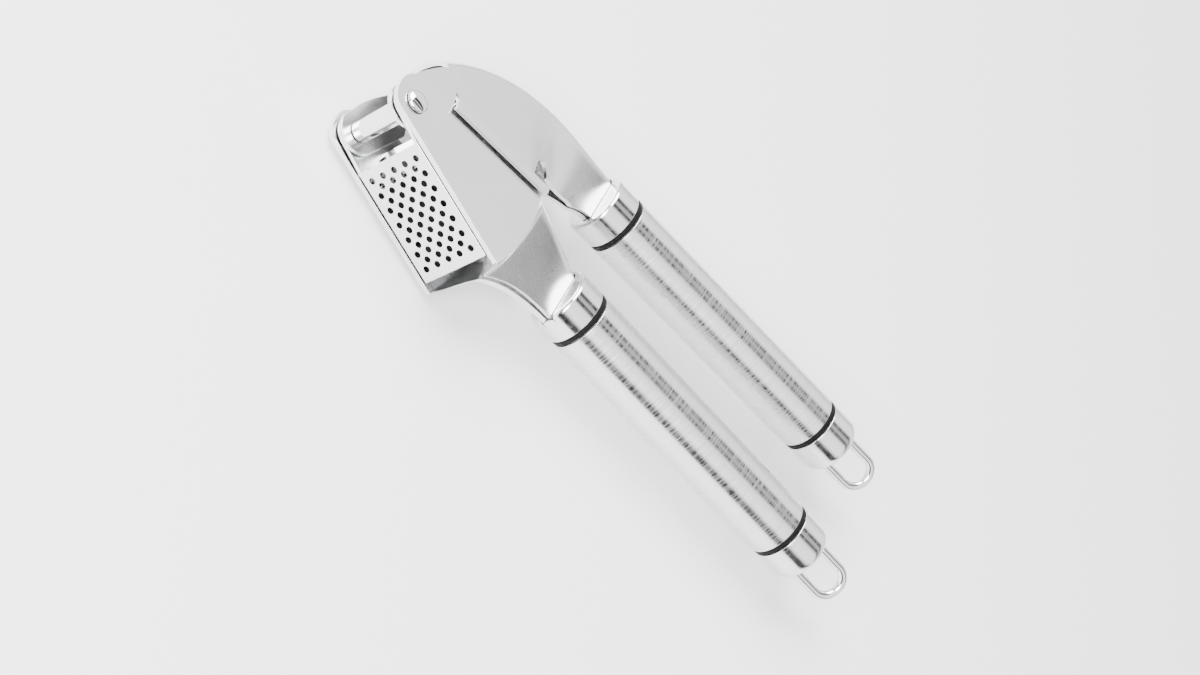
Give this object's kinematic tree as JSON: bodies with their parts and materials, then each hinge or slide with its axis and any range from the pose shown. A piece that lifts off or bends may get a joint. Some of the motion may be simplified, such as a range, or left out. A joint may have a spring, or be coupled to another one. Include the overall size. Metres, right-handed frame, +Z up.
{
  "type": "garlic press",
  "caption": "Stainless steel garlic press with tubular handles, wire hanging loops, a swing-out hopper with a pierced floor and a hinged plunger under an arched lever.",
  "frame": {"origin": "middle of the footprint, on the surface that the press lies on, with the levers closed", "axes": "+X along the lower handle towards its loop, +Y towards the upper lever, +Z up along the main pin"},
  "size_m": [0.2142, 0.0765, 0.0317],
  "materials": {
    "sheet_steel": "satin pressed sheet",
    "polished_steel": "polished",
    "satin_steel": "fine satin, turned",
    "brushed_steel": "brushed round the tube",
    "dark_steel": "dark, fine-grained casting (guessed: the plunger is hidden)",
    "black_rubber": "matt black"
  },
  "bodies": {
    "lower_lever": {"lower_frame": "sheet_steel", "main_pin": "polished_steel", "pin_spacer": "polished_steel", "lower_front_ferrule": "satin_steel", "lower_front_ring": "black_rubber", "lower_grip_tube": "brushed_steel", "lower_rear_ring": "black_rubber", "lower_end_cap": "satin_steel", "lower_hanging_loop": "polished_steel"},
    "hopper": {"hopper": "sheet_steel"},
    "upper_lever": {"upper_frame": "sheet_steel", "plunger_hanger": "sheet_steel", "plunger_pin": "polished_steel", "upper_front_ferrule": "satin_steel", "upper_front_ring": "black_rubber", "upper_grip_tube": "brushed_steel", "upper_rear_ring": "black_rubber", "upper_end_cap": "satin_steel", "upper_hanging_loop": "polished_steel"},
    "plunger": {"plunger_plate": "dark_steel", "plunger_lug": "sheet_steel"}
  },
  "joints": [
    {"name": "lever_hinge", "type": "hinge", "parent": "lower_lever", "child": "upper_lever", "pos_m": [-0.10027, -0.01739, 0.01585], "axis": [0, 0, 1], "range_deg": [0, 120]},
    {"name": "hopper_hinge", "type": "hinge", "parent": "lower_lever", "child": "hopper", "pos_m": [-0.10027, -0.01739, 0.01585], "axis": [0, 0, 1], "range_deg": [0, 36]},
    {"name": "plunger_hinge", "type": "hinge", "parent": "upper_lever", "child": "plunger", "pos_m": [-0.07526, -0.00939, 0.01585], "axis": [0, 0, 1], "range_deg": [-12, 0]}
  ],
  "couplings": [
    {"joint": "hopper_hinge", "follows": "lever_hinge", "ratio": 0.3},
    {"joint": "plunger_hinge", "follows": "lever_hinge", "ratio": -0.1}
  ]
}
